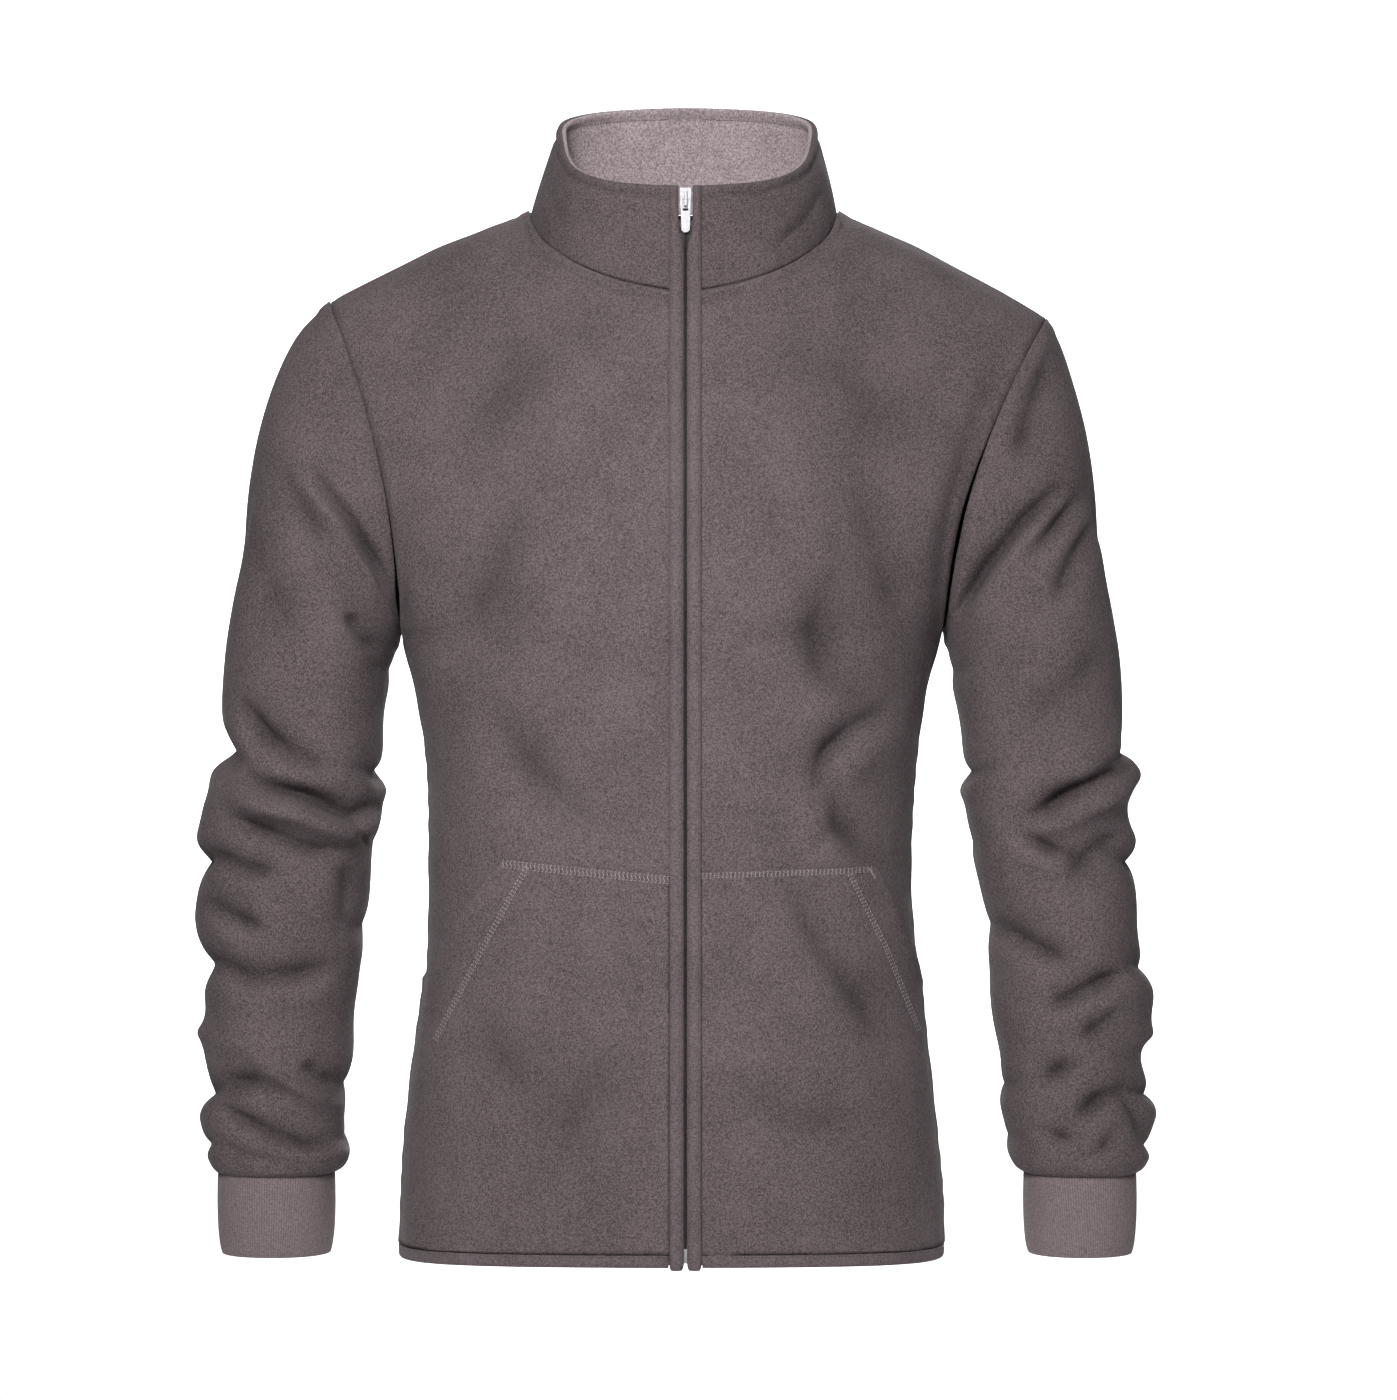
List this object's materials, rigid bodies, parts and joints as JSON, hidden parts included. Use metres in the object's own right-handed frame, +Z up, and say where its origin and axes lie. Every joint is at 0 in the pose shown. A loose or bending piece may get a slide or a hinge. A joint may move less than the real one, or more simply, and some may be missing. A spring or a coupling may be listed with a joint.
{
  "type": "fleece zip jacket",
  "caption": "Fleece jacket with stand collar, full front zip, kangaroo pockets and knit cuffs, filled out as worn and hollow.",
  "frame": {"origin": "inside of the back neck seam, where the wearer's nape carries the jacket", "axes": "+Z up along the back, -Y to the front, +X to the wearer's left"},
  "size_m": [0.66, 0.2471, 0.7949],
  "materials": {
    "fleece": "dark warm grey brushed fleece, matt",
    "collar_lining": "pale grey soft knit, matt",
    "cuff_knit": "mid grey fine knit, matt",
    "binding": "dark grey folded knit binding, matt",
    "zip_teeth": "dark nylon coil, satin",
    "zip_metal": "silver-white plated metal, satin"
  },
  "bodies": {
    "jacket": {"front_right": "fleece", "front_left": "fleece", "back": "fleece", "sleeve_right": "fleece", "sleeve_left": "fleece", "pocket_right": "fleece", "pocket_left": "fleece", "collar_outer": "fleece", "collar_inner": "collar_lining", "cuff_right": "cuff_knit", "cuff_left": "cuff_knit", "front_edge_right": "binding", "front_edge_left": "binding", "hem_band": "binding", "zip_coil": "zip_teeth", "zip_slider": "zip_metal", "zip_box": "zip_metal"},
    "pull_tab": {"zip_pull": "zip_metal"}
  },
  "joints": [
    {"name": "pull_tab_hinge", "type": "hinge", "parent": "jacket", "child": "pull_tab", "pos_m": [0, -0.15961, -0.005], "axis": [1, 0, 0], "range_deg": [-150, 0]}
  ]
}
